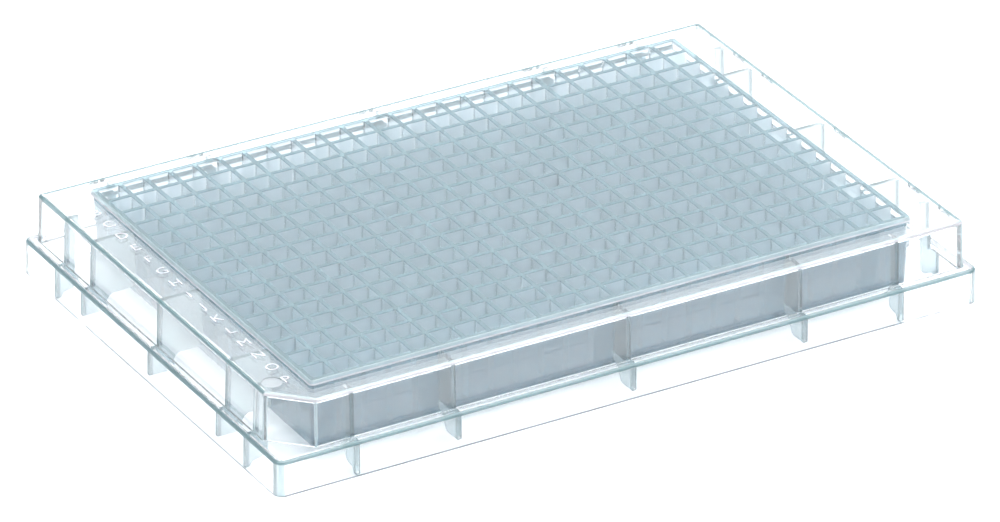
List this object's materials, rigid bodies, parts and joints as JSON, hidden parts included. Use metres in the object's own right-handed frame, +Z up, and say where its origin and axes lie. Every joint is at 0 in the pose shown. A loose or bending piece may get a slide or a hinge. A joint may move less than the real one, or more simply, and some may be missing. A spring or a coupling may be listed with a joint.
{
  "type": "well plate",
  "caption": "Clear moulded microplate: a grid of square flat-bottomed wells in a stepped skirt with a raised rim, stiffening ribs and one cut corner.",
  "frame": {"origin": "centre of the footprint, on the table", "axes": "+X along the columns with column 1 at -X, +Y towards row A, +Z up"},
  "size_m": [0.1278, 0.0854, 0.0151],
  "materials": {
    "clear_polystyrene": "clear gloss moulded polystyrene"
  },
  "bodies": {
    "root": {"well_plate": "clear_polystyrene"}
  },
  "joints": []
}
